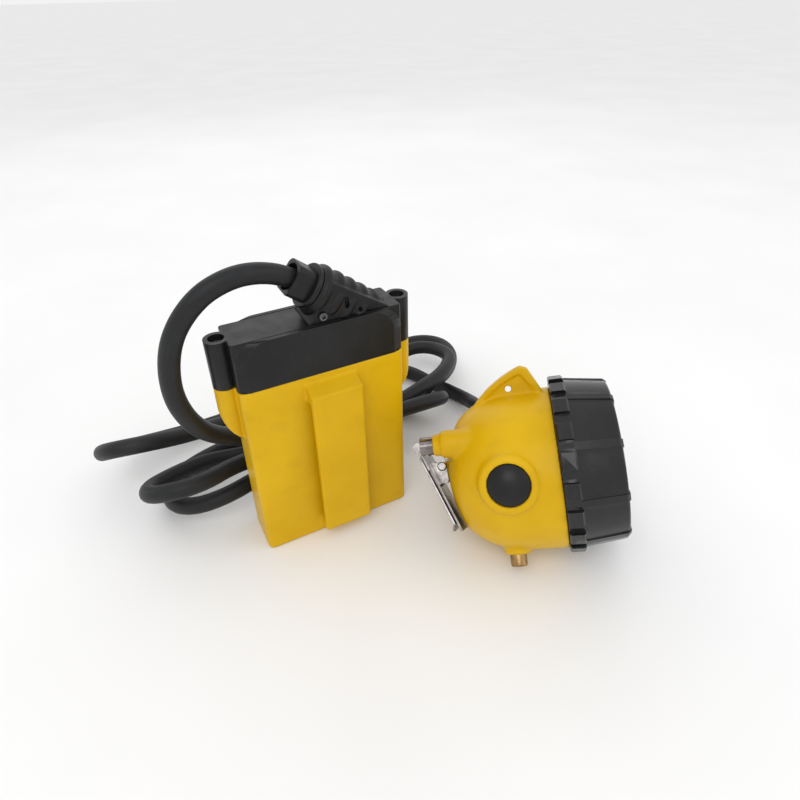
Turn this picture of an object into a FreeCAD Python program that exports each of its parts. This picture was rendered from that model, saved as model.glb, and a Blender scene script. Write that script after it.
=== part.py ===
"""Corded miner's cap lamp: belt battery, flexible cord and headpiece with push button and helmet clip.

Frame: origin at the centre of the battery's base, +X along the battery's front face, +Y to its back, +Z up.
The headpiece is drawn in its own frame (+X out of the lens, +Y to the wearer's left, +Z to the crown of the
helmet, origin on the lamp axis at the back of the bezel ring) and is then laid down beside the battery.
"""
import FreeCAD, Part
import math
import os

from FreeCAD import Placement, Rotation, Vector

# ---- driving dimensions, millimetres -------------------------------------------------------------------
fit_gap = 0.3            # between pieces that are put together by hand
pin_gap = 0.05           # between a hinge pin and its knuckles

# battery
case_width = 78.0
case_depth = 25.0
case_height = 96.0
cap_height = 23.0
case_wall = 2.0
case_corner = 3.0
floor_edge = 1.2         # rounding of the case's bottom edge
boss_radius = 5.4
boss_out = 3.0           # screw axis beyond the end of the case
boss_web = 6.8           # width of the web that joins a boss to the case
boss_tail = 11.0         # straight part of a case boss below the parting line
boss_sweep = 22.0        # radius that a case boss fades into the wall with
recess_depth = 2.0       # cap wall behind the raised front and back panels
panel_bevel = 4.4
panel_corner = 11.0
skirt_depth = 6.0
skirt_wall = 1.6
gasket_height = 1.0
gasket_width = 1.1
screw_head_radius = 3.2
screw_head_height = 2.4
screw_sink = 2.5
screw_radius = 1.5
screw_length = 30.0

# belt loop
loop_width = 24.5
loop_middle = 1.8        # loop centre to the right of the case centre
loop_stand = 8.0         # outer face in front of the case
loop_wall = 3.0
loop_low = 7.0
loop_high = 89.0
loop_root_low = 4.0
loop_root_high = 92.5
slot_low = 10.0
slot_high = 84.0

# battery pack
cell_count = 4
cell_radius = 9.0
cell_length = 65.0
cell_pad = 1.5
cradle_low = 18.0
cradle_high = 58.0
strip_thickness = 0.3
strip_width = 8.0
board_thickness = 1.6

# battery gland
gland_tilt = 37.6        # rise of the cord towards the collar, degrees
gland_x = -1.25          # where the collar meets the flange, on the cord's axis
gland_rise = 14.7        # where it meets the flange, above the cap's top
boot_radius = 10.4
rib_radius = 11.5
rib_count = 5
rib_pitch = 6.6
rib_width = 3.6
wedge_width = 20.0
flange_radius = 10.2
flange_thickness = 2.6
collar_side = 14.4
collar_corner = 3.2
collar_length = 8.6
collar_bore = 6.1

# cord
cord_radius = 4.5

# headpiece placement
head_x = 95.7
head_y = -65.7
head_z = 43.35
head_heading = -34.5     # degrees about Z
head_rise = 12.2         # lens turned up, degrees
head_roll = -42.0        # degrees about the lamp axis

# headpiece shell
shell_radius = 38.2
shell_straight = 19.5
shell_front = -1.0
dome_drop = 1.4         # the dome sits this much lower than the bezel's axis
pole_share = 0.905      # how far the flattened back reaches, as a share of the dome's radius
shell_wall = 2.6
neck_radius = 35.2
neck_length = 16.8
button_x = -23.3
button_turn = -11.6      # button axis below the wearer's right, degrees
button_radius = 9.2
housing_low_radius = 19.0
housing_top_radius = 12.8
housing_low = 18.0
housing_top = 39.4
ring_radius = 12.2
ring_top = 40.0
button_crown = 2.9
button_flange = 1.4
button_travel = 1.8
clip_boss_y = -23.0
clip_boss_z = 12.9
clip_boss_radius = 6.6
clip_boss_back = -53.1
clip_collar_radius = 5.1
clip_collar_back = -56.8
fin_lean = 25.0         # degrees the fin stands over from the crown, towards the button
fin_web = 2.0
fin_rim = 4.4
fin_root = 22.0
fin_hole_x = -19.5
fin_hole_height = 40.1
fin_hole_radius = 1.6
stud_x = -25.0
stud_turn = 4.0          # stud axis off the lamp's lower centre line, degrees
stud_radius = 3.9
stud_tip = 46.9
stud_boss_radius = 6.3
stud_boss_end = 41.4
cord_exit = Vector(-25.5, 46.7, 19.3)
cord_lean = Vector(-0.513, 0.664, 0.544)
cord_boss_radius = 9.0
cord_boss_depth = 20.0   # how far the boss reaches back from the gland's mouth
nut_radius = 8.4
nut_length = 6.0
relief_length = 26.0
relief_end_radius = 5.9
relief_root_radius = 7.4
relief_socket = 3.0      # depth of the cord's seat in the sleeve's end

# bezel and optics
bezel_front = 25.4
lug_start = -0.7
lug_end = 6.2
lug_radius = 41.7
lug_root = 39.9
lug_count = 20
lug_share = 0.56         # part of each step that the lug takes up
bezel_front_radius = 37.1
bezel_mouth = 31.4
grip_rib_count = 10
grip_rib_width = 3.4
grip_rib_height = 0.7
lens_radius = 34.2
lens_thickness = 3.0
lens_back = 19.4
seal_thickness = 1.0
reflector_rim = 34.0
reflector_throat = 6.5
reflector_back = -7.2
reflector_wall = 1.4
sink_radius = 25.0
sink_thickness = 4.0
led_board_radius = 9.5
led_board_thickness = 1.6
driver_radius = 21.0

# helmet clip
knuckle_x = -66.0
knuckle_z = 12.7
strip_end_x = -48.9
strip_end_z = -28.0
clip_steel = 1.1
arm_offset = 1.75        # moving leaf outward of the fixed one, middle to middle
clip_low_y = -16.5
clip_high_y = 8.5
pin_radius = 1.5
knuckle_radius = 2.7
knuckle_width = 5.0
arm_knuckle_width = 6.6
saddle_half = 6.0
rivet_x = -56.6
rivet_z = 3.0

# ---- values that follow --------------------------------------------------------------------------------
half_width = case_width / 2
half_depth = case_depth / 2
total_height = case_height + cap_height
boss_x = half_width + boss_out
cavity_half_x = half_width - case_wall
cavity_half_y = half_depth - case_wall
UP = Vector(0, 0, 1)
DEPTH = Vector(0, 1, 0)
gland_out = Vector(-math.cos(math.radians(gland_tilt)), 0, math.sin(math.radians(gland_tilt)))
gland_mouth = Vector(gland_x, 0, total_height + gland_rise)
headpiece = Placement(Vector(head_x, head_y, head_z), Rotation(head_heading, -head_rise, head_roll))
cord_lean.normalize()


# ---- helpers -------------------------------------------------------------------------------------------
def box(x0, y0, z0, x1, y1, z1):
    return Part.makeBox(x1 - x0, y1 - y0, z1 - z0, Vector(x0, y0, z0))


def rod(radius, start, end):
    """A cylinder between two points."""
    run = end - start
    return Part.makeCylinder(radius, run.Length, start, run)


def tube(outer, inner, start, end):
    return rod(outer, start, end).cut(rod(inner, start, end))


def rounded_block(half_x, half_y, z0, z1, corner):
    """An upright block with rounded vertical edges, centred on the Z axis."""
    block = box(-half_x, -half_y, z0, half_x, half_y, z1)
    upright = [e for e in block.Edges if abs(e.Vertexes[0].Z - e.Vertexes[1].Z) > 0.5 * (z1 - z0)]
    return block.makeFillet(corner, upright)


def outline_face(points):
    """A face inside straight edges and arcs. An entry of two points is an arc: a point on it, and its end."""
    edges = []
    here = points[0]
    for entry in points[1:] + [points[0]]:
        if isinstance(entry, tuple):
            edges.append(Part.Arc(here, entry[0], entry[1]).toShape())
            here = entry[1]
        elif (entry - here).Length > 1e-6:
            edges.append(Part.LineSegment(here, entry).toShape())
            here = entry
    return Part.Face(Part.Wire(edges))


def turned(points):
    """A body of revolution about the lamp axis (X) from an outline of (x, radius) points, arcs as pairs."""
    def lift(p):
        return Vector(p[0], 0, p[1])
    lifted = [(lift(p[0]), lift(p[1])) if isinstance(p[0], tuple) else lift(p) for p in points]
    return outline_face(lifted).revolve(Vector(0, 0, 0), Vector(1, 0, 0), 360)


def rounded_edges(shape, radius, wanted):
    """Rounds the edges that a test picks out."""
    return shape.makeFillet(radius, [e for e in shape.Edges if wanted(e)])


def joined(shapes):
    return shapes[0].multiFuse(shapes[1:]).removeSplitter()


# ---- battery case, cap and fasteners -------------------------------------------------------------------
def boss_plan(z0, z1):
    """Both screw bosses with the webs that join them to the battery's ends."""
    pieces = []
    for side in (-1, 1):
        pieces.append(rod(boss_radius, Vector(side * boss_x, 0, z0), Vector(side * boss_x, 0, z1)))
        inner = side * (half_width - case_wall / 2)
        outer = side * boss_x
        pieces.append(box(min(inner, outer), -boss_web / 2, z0, max(inner, outer), boss_web / 2, z1))
    return joined(pieces)


def boss_fade():
    """What is kept of the case bosses: they sweep into the wall at their lower ends."""
    sweep_z = case_height - boss_tail
    sweep_x = boss_x + boss_radius - boss_sweep
    kept = box(-boss_x - boss_radius, -boss_radius, sweep_z, boss_x + boss_radius, boss_radius, case_height)
    for side in (-1, 1):
        start = Vector(side * sweep_x, -boss_radius, sweep_z)
        kept = kept.fuse(rod(boss_sweep, start, start + Vector(0, 2 * boss_radius, 0)))
    return kept


def belt_loop():
    """A bridge moulded on the front wall; the belt runs through it along X."""
    front = -half_depth
    out = front - loop_stand
    inside = out + loop_wall
    root = front + case_wall / 2

    def at(y, z):
        return Vector(loop_middle - loop_width / 2, y, z)
    bridge = outline_face([at(root, loop_root_high), at(front, loop_root_high), at(out, loop_high),
                           at(out, loop_low), at(front, loop_root_low), at(root, loop_root_low)])
    slot = outline_face([at(front, slot_high), at(inside, slot_high), at(inside, slot_low), at(front, slot_low)])
    solid = bridge.extrude(Vector(loop_width, 0, 0))
    solid = rounded_edges(solid, 1.0, lambda e: e.BoundBox.YMax < front - 0.5)
    return solid.cut(slot.extrude(Vector(loop_width, 0, 0)))


def battery_case():
    body = rounded_block(half_width, half_depth, 0, case_height, case_corner)
    body = rounded_edges(body, floor_edge, lambda e: e.BoundBox.ZMax < 0.01)
    bosses = boss_plan(case_height - boss_tail - boss_sweep, case_height).common(boss_fade())
    body = joined([body, bosses, belt_loop()])
    cavity = rounded_block(cavity_half_x, cavity_half_y, case_wall, case_height + 1, case_corner - case_wall / 2)
    seat = rounded_block(cavity_half_x + gasket_width, cavity_half_y + gasket_width,
                         case_height - gasket_height, case_height + 1, case_corner - 0.5)
    body = body.cut(cavity).cut(seat)
    return body.cut(screw_holes(screw_radius, case_height - 14, case_height + 1))


def screw_holes(radius, z0, z1):
    holes = [rod(radius, Vector(side * boss_x, 0, z0), Vector(side * boss_x, 0, z1)) for side in (-1, 1)]
    return holes[0].fuse(holes[1])


def panel_wire(half_x, y):
    """The raised panel's edge: square below, with round upper corners."""
    low = case_height
    high = total_height
    turn = panel_corner * (1 - math.sqrt(0.5))
    pts = [Vector(-half_x, y, low), Vector(-half_x, y, high - panel_corner),
           Vector(-half_x + turn, y, high - turn), Vector(-half_x + panel_corner, y, high),
           Vector(half_x - panel_corner, y, high), Vector(half_x - turn, y, high - turn),
           Vector(half_x, y, high - panel_corner), Vector(half_x, y, low)]
    edges = [Part.LineSegment(pts[0], pts[1]).toShape(), Part.Arc(pts[1], pts[2], pts[3]).toShape(),
             Part.LineSegment(pts[3], pts[4]).toShape(), Part.Arc(pts[4], pts[5], pts[6]).toShape(),
             Part.LineSegment(pts[6], pts[7]).toShape(), Part.LineSegment(pts[7], pts[0]).toShape()]
    return Part.Wire(edges)


def raised_panel(side):
    """A bevelled panel on the cap's front (side -1) or back (side 1), level with the case below."""
    root = side * (half_depth - recess_depth)
    foot = panel_wire(half_width - 0.4, root)
    face = panel_wire(half_width - 0.4 - panel_bevel, side * half_depth)
    return Part.makeLoft([foot, face], True, True)


def battery_cap():
    block = rounded_block(half_width, half_depth - recess_depth, case_height, total_height, 1.5)
    block = rounded_edges(block, 0.7, lambda e: e.BoundBox.ZMin > total_height - 0.01)
    cap = joined([block, raised_panel(-1), raised_panel(1), boss_plan(case_height, total_height)])
    skirt = rounded_block(cavity_half_x - fit_gap, cavity_half_y - fit_gap, case_height - skirt_depth,
                          case_height, case_corner - case_wall / 2)
    hollow = rounded_block(cavity_half_x - fit_gap - skirt_wall, cavity_half_y - fit_gap - skirt_wall,
                           case_height - skirt_depth, total_height - 2.4, 1.0)
    cap = cap.fuse(skirt).cut(hollow)
    cap = cap.cut(screw_holes(screw_radius + fit_gap, case_height, total_height + 1))
    return cap.cut(screw_holes(screw_head_radius + fit_gap, total_height - screw_sink - screw_head_height,
                               total_height + 1))


def cap_gasket():
    outer = rounded_block(cavity_half_x + gasket_width - 0.1, cavity_half_y + gasket_width - 0.1,
                          case_height - gasket_height, case_height, case_corner - 0.6)
    inner = rounded_block(cavity_half_x, cavity_half_y, case_height - gasket_height, case_height,
                          case_corner - case_wall / 2)
    return outer.cut(inner)


def cap_screws():
    """Two pan-head screws with cross recesses, sunk in the end bosses."""
    screws = []
    for side in (-1, 1):
        head_low = Vector(side * boss_x, 0, total_height - screw_sink - screw_head_height)
        head_high = head_low + UP * screw_head_height
        head = rounded_edges(rod(screw_head_radius, head_low, head_high), 0.9,
                             lambda e: e.BoundBox.ZMin > head_high.z - 0.01)
        cross = [box(head_low.x - a, -b, head_high.z - 1.2, head_low.x + a, b, head_high.z + 1)
                 for a, b in ((1.9, 0.4), (0.4, 1.9))]
        shank = rod(screw_radius - pin_gap, head_low - UP * (screw_length - screw_head_height), head_low)
        screws.append(joined([head, shank]).cut(cross[0].fuse(cross[1])))
    return Part.makeCompound(screws)


# ---- battery pack --------------------------------------------------------------------------------------
def cell_x(number):
    return (number - (cell_count - 1) / 2) * 2 * (cell_radius + 0.15)


def cell_floor():
    return case_wall + cell_pad


def battery_cell(number):
    low = Vector(cell_x(number), 0, cell_floor() + strip_thickness)
    body = rounded_edges(rod(cell_radius, low, low + UP * (cell_length - 1.2)), 0.8,
                         lambda e: len(e.Vertexes) == 1)
    button = rod(3.0, low + UP * (cell_length - 1.2), low + UP * cell_length)
    return joined([body, button])


def cell_cradle(side):
    """A grooved bar that wedges the four cells against the case's front (side -1) or back (side 1)."""
    wall = side * (cavity_half_y - fit_gap)
    inner = side * 4.0
    reach = cavity_half_x - 1.3
    bar = box(-reach, min(wall, inner), cradle_low, reach, max(wall, inner), cradle_high)
    for number in range(cell_count):
        low = Vector(cell_x(number), 0, cradle_low)
        bar = bar.cut(rod(cell_radius + 0.05, low, low + UP * (cradle_high - cradle_low)))
    return bar


def nickel_strip(z0):
    reach = cell_x(cell_count - 1) + strip_width / 2
    return box(-reach, -strip_width / 2, z0, reach, strip_width / 2, z0 + strip_thickness)


def foam_pad(z0, height):
    return rounded_block(cavity_half_x - fit_gap, cavity_half_y - fit_gap, z0, z0 + height, 1.0)


def protection_board():
    """Circuit board above the cells, with two power transistors and a fuse on it."""
    low = cell_floor() + 2 * strip_thickness + cell_length + 1.5
    board = box(-33, -8, low, 33, 8, low + board_thickness)
    parts = [box(x - 3.2, -2.6, low + board_thickness, x + 3.2, 2.6, low + board_thickness + 1.8)
             for x in (-18, -6, 9)]
    return joined([board] + parts)


# ---- battery gland -------------------------------------------------------------------------------------
def along_gland(distance):
    """A point on the cord's axis in the gland; positive is out of the collar."""
    return gland_mouth + gland_out * distance


def gland_boot():
    """The moulded ribbed hood that carries the cord down into the cap, with flat cheeks front and back."""
    hood_back = -46.0
    hood = rod(boot_radius, along_gland(hood_back), along_gland(-flange_thickness))
    ribs = []
    for number in range(rib_count):
        middle = along_gland(-flange_thickness - rib_width / 2 - 1.0 - number * rib_pitch)
        rib = rod(rib_radius, middle - gland_out * (rib_width / 2), middle + gland_out * (rib_width / 2))
        ribs.append(rounded_edges(rib, 1.4, lambda e: e.BoundBox.DiagonalLength > 1.5 * rib_radius
                                  and len(e.Vertexes) == 1))

    def at(x, z):
        return Vector(x, -wedge_width / 2, z)
    cheek = outline_face([at(-4.8, total_height), (at(0.5, 126.7), at(8.0, 136.0)), at(33.5, total_height)])
    wedge = cheek.extrude(Vector(0, wedge_width, 0))
    solid = joined([hood, wedge] + ribs)
    above = box(-60, -30, total_height, 60, 30, total_height + 60)
    solid = solid.common(above)
    for x, z, height in ((12.4, 122.4, 5.6), (18.4, 120.4, 1.6)):
        solid = solid.cut(box(x, -wedge_width / 2 - 1, z, x + 1.5, -wedge_width / 2 + 1.2, z + height))
    return solid.cut(rod(1.25, screw_seat() - DEPTH * 5, screw_seat() + DEPTH * 5))


def screw_seat():
    """Where the clamp screw's head bears on the boot's front cheek."""
    return Vector(1.6, -wedge_width / 2, 122.4)


def gland_flange():
    """The round clamp plate between the boot and the collar."""
    plate = rod(flange_radius, along_gland(-flange_thickness), along_gland(0))
    plate = rounded_edges(plate, 0.8, lambda e: len(e.Vertexes) == 1)
    return plate.cut(rod(cord_radius + fit_gap, along_gland(-flange_thickness - 1), along_gland(1)))


def cable_collar():
    """A square-sided collar that guards the cord's exit; its mouth is wider than the cord."""
    half = collar_side / 2
    block = box(-half, -half, 0, half, half, collar_length)
    block = rounded_edges(block, collar_corner,
                          lambda e: abs(e.Vertexes[0].Z - e.Vertexes[1].Z) > 0.5 * collar_length)
    block = rounded_edges(block, 0.6, lambda e: e.BoundBox.ZMin > collar_length - 0.01)
    block = block.cut(rod(collar_bore, Vector(0, 0, -1), Vector(0, 0, collar_length + 1)))
    block.Placement = Placement(gland_mouth, Rotation(UP, gland_out))
    return block


def clamp_screw():
    """The socket screw on the boot's front cheek, which pinches the cord inside."""
    seat = screw_seat()
    head = rounded_edges(rod(1.9, seat - DEPTH * 1.6, seat), 0.4,
                         lambda e: len(e.Vertexes) == 1 and e.CenterOfMass.y < seat.y - 1.5)
    socket = rod(0.9, seat - DEPTH * 2, seat - DEPTH * 0.6)
    return joined([head, rod(1.2, seat - DEPTH * 0.5, seat + DEPTH * 4.5)]).cut(socket)


# ---- cord ----------------------------------------------------------------------------------------------
def relief_point(distance):
    """A point on the headpiece gland's axis, at a distance out from the nut's face."""
    return headpiece.multVec(cord_exit + cord_lean * distance)


def cord_route():
    """The cord's points from the battery gland to the headpiece gland."""
    top = total_height
    hook = [(-21.5, -2.0, top + 25.6), (-34.0, -3.6, top + 26.0), (-47.0, -3.5, top + 20.5), (-58.5, -0.5, top + 6.0),
            (-63.5, 2.5, top - 13.0), (-63.0, 5.5, top - 32.0), (-56.0, 12.0, 67.0), (-44.0, 21.0, 52.0)]
    first_right = [(-24.0, 25.5, 41.0), (10.0, 24.5, 34.0), (45.0, 21.0, 33.2), (76.0, 20.0, 33.0),
                   (89.0, 30.0, 24.5), (89.0, 43.5, 13.0), (76.0, 53.4, 5.0)]
    first_left = [(45.0, 55.0, 4.9), (14.0, 54.0, 4.9), (-14.0, 58.0, 4.9), (-36.0, 60.5, 6.0),
                  (-57.0, 57.0, 12.5), (-84.0, 43.5, 18.6), (-88.0, 28.4, 26.0), (-78.0, 16.0, 33.4)]
    second_right = [(-61.0, 13.4, 34.6), (-42.0, 25.0, 30.0), (-12.0, 28.0, 27.0), (21.0, 30.0, 26.5),
                    (50.0, 31.0, 28.0), (76.0, 35.0, 32.6), (94.0, 42.0, 32.0), (111.5, 58.0, 29.5),
                    (114.1, 71.2, 28.0), (108.5, 83.2, 27.0), (97.0, 89.3, 26.0)]
    second_left = [(75.0, 85.0, 24.5), (50.0, 77.5, 22.0), (21.0, 73.5, 21.0), (-11.0, 72.5, 22.0),
                   (-37.0, 69.5, 25.0), (-59.0, 56.5, 34.0), (-81.0, 47.5, 43.0), (-99.0, 53.5, 41.0),
                   (-106.0, 71.5, 28.0), (-95.0, 88.5, 15.0)]
    third_right = [(-73.0, 93.5, 10.0), (-47.0, 96.5, 7.0), (-14.0, 102.5, 4.9), (26.0, 108.0, 4.9),
                   (64.0, 115.0, 5.0), (90.0, 119.0, 8.5), (106.0, 119.2, 11.0), (122.0, 115.0, 12.6),
                   (131.0, 102.6, 13.4), (130.0, 88.0, 14.0), (122.0, 74.0, 15.4)]
    third_left = [(109.0, 60.5, 17.6), (94.0, 50.5, 22.0), (79.0, 44.5, 20.8), (60.0, 41.5, 14.0),
                  (29.0, 39.5, 10.0), (-4.0, 33.5, 14.0), (-31.0, 23.5, 17.4), (-50.0, 17.5, 17.6),
                  (-66.0, 20.5, 14.5), (-76.0, 31.5, 10.0), (-78.0, 47.0, 6.4), (-70.0, 61.5, 5.0)]
    floor_run = [(-54.0, 69.5, 4.9), (-28.0, 75.0, 4.9), (8.0, 85.0, 4.9), (42.0, 97.0, 4.9),
                 (66.0, 104.0, 4.9), (85.0, 103.6, 4.9), (98.0, 92.0, 4.9), (104.5, 71.0, 4.9),
                 (112.5, 51.0, 4.9), (114.0, 36.5, 7.6)]
    spans = hook + first_right + first_left + second_right + second_left + third_right + third_left + floor_run
    start = [along_gland(-flange_thickness), along_gland(9.4)]
    end = [relief_point(relief_length + 10.5), relief_point(relief_length - relief_socket)]
    return start + [Vector(*place) for place in spans] + end


def cord_path(points):
    """Straight runs joined by tangent arcs, each arc as large as its two runs allow."""
    edges = []
    here = points[0]
    radii = []
    for before, corner, after in zip(points, points[1:], points[2:]):
        way_in = (corner - before).normalize()
        way_out = (after - corner).normalize()
        turn = way_in.getAngle(way_out)
        cut = 0.45 * min((corner - before).Length, (after - corner).Length)
        radius = cut / math.tan(turn / 2)
        radii.append(radius)
        begin = corner - way_in * cut
        finish = corner + way_out * cut
        inward = (way_out - way_in).normalize()
        centre = corner + inward * (radius / math.cos(turn / 2))
        edges.append(Part.LineSegment(here, begin).toShape())
        edges.append(Part.Arc(begin, centre - inward * radius, finish).toShape())
        here = finish
    edges.append(Part.LineSegment(here, points[-1]).toShape())
    print("cord arc radii:", " ".join("%.0f" % r for r in radii))
    return Part.Wire(edges)


def cord():
    points = cord_route()
    path = cord_path(points)
    section = Part.Wire(Part.makeCircle(cord_radius, points[0], points[1] - points[0]))
    solid = path.makePipeShell([section], True, False)
    expected = math.pi * cord_radius ** 2 * path.Length
    print("cord length %.0f mm, volume against section times length %.4f" % (path.Length, solid.Volume / expected))
    return solid


# ---- headpiece shell -----------------------------------------------------------------------------------
def side_dir(turn):
    """The direction of the wearer's right, turned about the lamp axis by degrees towards the crown."""
    a = math.radians(turn)
    return Vector(0, -math.cos(a), math.sin(a))


def dome_outline(radius, front):
    """Half outline of a tube with a domed back, about the lamp axis."""
    middle = -shell_straight

    def on_arc(degrees):
        turn = math.radians(degrees)
        return (middle - radius * math.sin(turn), radius * math.cos(turn))
    shoulder = on_arc(45)
    pole = middle - radius * pole_share
    depth = shoulder[0] - pole
    cap_radius = (depth ** 2 + shoulder[1] ** 2) / (2 * depth)
    half_turn = math.asin(shoulder[1] / cap_radius) / 2
    crown = (pole + cap_radius * (1 - math.cos(half_turn)), cap_radius * math.sin(half_turn))
    return [(front, 0), (front, radius), (middle, radius), (on_arc(22.5), shoulder), (crown, (pole, 0))]


def fin_face(y, window):
    """The fin's side outline, or the outline of the window in it."""
    def at(x, z):
        return Vector(x, y, z)
    if window:
        return outline_face([at(-37.6, fin_root), at(-37.0, 30.0), (at(-27.0, 39.8), at(-15.0, 46.6)),
                             at(-13.2, 47.1), at(-6.9, 37.6), at(-6.9, fin_root)])
    return outline_face([at(-44.4, fin_root), at(-42.9, 25.3), (at(-30.6, 40.0), at(-12.9, 50.6)),
                         at(-9.6, 49.2), at(-4.3, 38.4), at(-4.3, fin_root)])


def fin():
    """A webbed lug beside the crown, with a thick rim and a hole for a seal or lanyard."""
    whole = fin_face(-fin_rim / 2, False).extrude(Vector(0, fin_rim, 0))
    near_window = fin_face(-fin_rim, True).extrude(Vector(0, fin_rim - fin_web / 2, 0))
    far_window = fin_face(fin_web / 2, True).extrude(Vector(0, fin_rim, 0))
    hole = rod(fin_hole_radius, Vector(fin_hole_x, -fin_rim, fin_hole_height),
               Vector(fin_hole_x, fin_rim, fin_hole_height))
    lug = whole.cut(near_window).cut(far_window).cut(hole)
    lug.rotate(Vector(0, 0, 0), Vector(1, 0, 0), fin_lean)
    return lug


def clip_saddle():
    """A moulded block on the dome's back, between the clip's two ears."""
    def at(x, z):
        return Vector(x, -saddle_half, z)
    side = outline_face([at(-60.8, 5.4), at(-46.0, 5.4), at(-46.0, -4.0), at(-56.6, -4.0)])
    return side.extrude(Vector(0, 2 * saddle_half, 0))


def lamp_shell():
    outer = turned(dome_outline(shell_radius, shell_front))
    outer.translate(Vector(0, 0, -dome_drop))
    neck = turned([(-shell_wall, 0), (-shell_wall, neck_radius), (neck_length, neck_radius), (neck_length, 0)])
    side = side_dir(button_turn)
    button_foot = Vector(button_x, 0, 0)
    housing = Part.makeCone(housing_low_radius, housing_top_radius, housing_top - housing_low,
                            button_foot + side * housing_low, side)
    ring = rounded_edges(rod(ring_radius, button_foot + side * 30, button_foot + side * ring_top), 1.0,
                         lambda e: len(e.Vertexes) == 1 and (e.CenterOfMass - button_foot).Length > 35)
    clip_boss = rod(clip_boss_radius, Vector(-26, clip_boss_y, clip_boss_z),
                    Vector(clip_boss_back, clip_boss_y, clip_boss_z))
    clip_collar = rod(clip_collar_radius, Vector(clip_boss_back, clip_boss_y, clip_boss_z),
                      Vector(clip_collar_back, clip_boss_y, clip_boss_z))
    clip_boss = rounded_edges(clip_boss, 1.2, lambda e: e.BoundBox.XMax < clip_boss_back + 0.01
                              and len(e.Vertexes) == 1)
    down = Vector(0, -math.sin(math.radians(stud_turn)), -math.cos(math.radians(stud_turn)))
    stud_foot = Vector(stud_x, 0, 0)
    stud_boss = rod(stud_boss_radius, stud_foot + down * 30, stud_foot + down * stud_boss_end)
    stud_boss = rounded_edges(stud_boss, 1.0, lambda e: len(e.Vertexes) == 1
                              and (e.CenterOfMass - stud_foot).Length > 35)
    cord_boss = rod(cord_boss_radius, cord_exit - cord_lean * cord_boss_depth, cord_exit - cord_lean * nut_length)
    solid = joined([outer, neck, housing, ring, clip_boss, clip_collar, stud_boss, cord_boss, clip_saddle(), fin()])
    hollow = turned(dome_outline(shell_radius - shell_wall, shell_front - shell_wall))
    hollow.translate(Vector(0, 0, -dome_drop))
    throat_radius = neck_radius - shell_wall
    throat = turned([(-2 * shell_wall, 0), (-2 * shell_wall, throat_radius), (neck_length + 1, throat_radius),
                     (neck_length + 1, 0)])
    solid = solid.cut(hollow).cut(throat)
    for cutter in button_cutters(button_foot, side) + gland_cutters(down, stud_foot):
        solid = solid.cut(cutter)
    return solid.cut(clip_cutter())


def button_cutters(foot, side):
    """The button's bore, and the wider well behind it where its flange travels."""
    return [rod(button_radius + fit_gap, foot + side * 30, foot + side * (ring_top + 1)),
            rod(button_radius + 1.6, foot + side * 20, foot + side * (ring_top - 2.6))]


def gland_cutters(down, stud_foot):
    """Bores for the charging stud and for the cord's wires."""
    return [rod(2.3, stud_foot + down * 30, stud_foot + down * (stud_boss_end + 1)),
            rod(cord_radius - 1.0, cord_exit - cord_lean * 30, cord_exit)]


def clip_cutter():
    """The rivet's bore through the saddle."""
    return rod(pin_radius + pin_gap, Vector(rivet_x, -30, rivet_z), Vector(rivet_x, 30, rivet_z))


# ---- bezel and optics ----------------------------------------------------------------------------------
def bezel_ring():
    """The screwed ring that holds the lens: a lugged grip at the back and ten long ribs over its barrel."""
    inside = neck_radius + fit_gap
    barrel = turned([(lug_start, inside), (lug_start, lug_root), (lug_end, lug_root), (lug_end + 1.2, 39.6),
                     (bezel_front - 1.2, bezel_front_radius), ((bezel_front - 0.4, bezel_front_radius - 0.4),
                     (bezel_front, bezel_front_radius - 1.4)), (bezel_front, bezel_mouth + 1.2),
                     (bezel_front - 1.6, bezel_mouth), (lens_back + lens_thickness, bezel_mouth),
                     (lens_back + lens_thickness, lens_radius + fit_gap),
                     (neck_length + 1.0, lens_radius + fit_gap), (neck_length + 1.0, inside)])
    pieces = [barrel]
    step = 360.0 / lug_count
    for number in range(lug_count):
        pieces.append(lug(number * step, step * lug_share))
    for number in range(grip_rib_count):
        pieces.append(grip_rib(number * 360.0 / grip_rib_count + 9.0))
    return joined(pieces)


def lug(angle, width):
    """One grip lug with sloping ends, on the bezel's back edge."""
    half = math.tan(math.radians(width / 2)) * lug_radius
    slope = 0.7

    def at(x, z):
        return Vector(x, -half, z)
    side = outline_face([at(lug_start, lug_root - 1), at(lug_start, lug_radius - slope),
                         at(lug_start + slope, lug_radius), at(lug_end - slope, lug_radius),
                         at(lug_end, lug_radius - slope), at(lug_end, lug_root - 1)])
    solid = side.extrude(Vector(0, 2 * half, 0))
    solid.rotate(Vector(0, 0, 0), Vector(1, 0, 0), angle)
    return solid


def grip_rib(angle):
    """One long rib that follows the barrel's taper."""
    def at(x, z):
        return Vector(x, -grip_rib_width / 2, z)
    high = grip_rib_height
    side = outline_face([at(lug_end - 0.5, 37.5), at(lug_end - 0.5, 39.7 + high),
                         at(bezel_front - 1.0, bezel_front_radius + high),
                         at(bezel_front + 0.4, bezel_front_radius - 0.6), at(bezel_front + 0.4, bezel_mouth + 2.4),
                         at(bezel_front - 1.0, bezel_mouth + 2.4), at(bezel_front - 1.0, 36.0)])
    solid = side.extrude(Vector(0, grip_rib_width, 0))
    solid.rotate(Vector(0, 0, 0), Vector(1, 0, 0), angle)
    return solid


def lens():
    front = lens_back + lens_thickness
    return turned([(lens_back, 0), (lens_back, lens_radius), (front, lens_radius), (front, 0)])


def lens_seal():
    back = lens_back - seal_thickness
    return turned([(back, reflector_rim - 1.6), (back, lens_radius - 0.2), (lens_back, lens_radius - 0.2),
                   (lens_back, reflector_rim - 1.6)])


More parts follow.
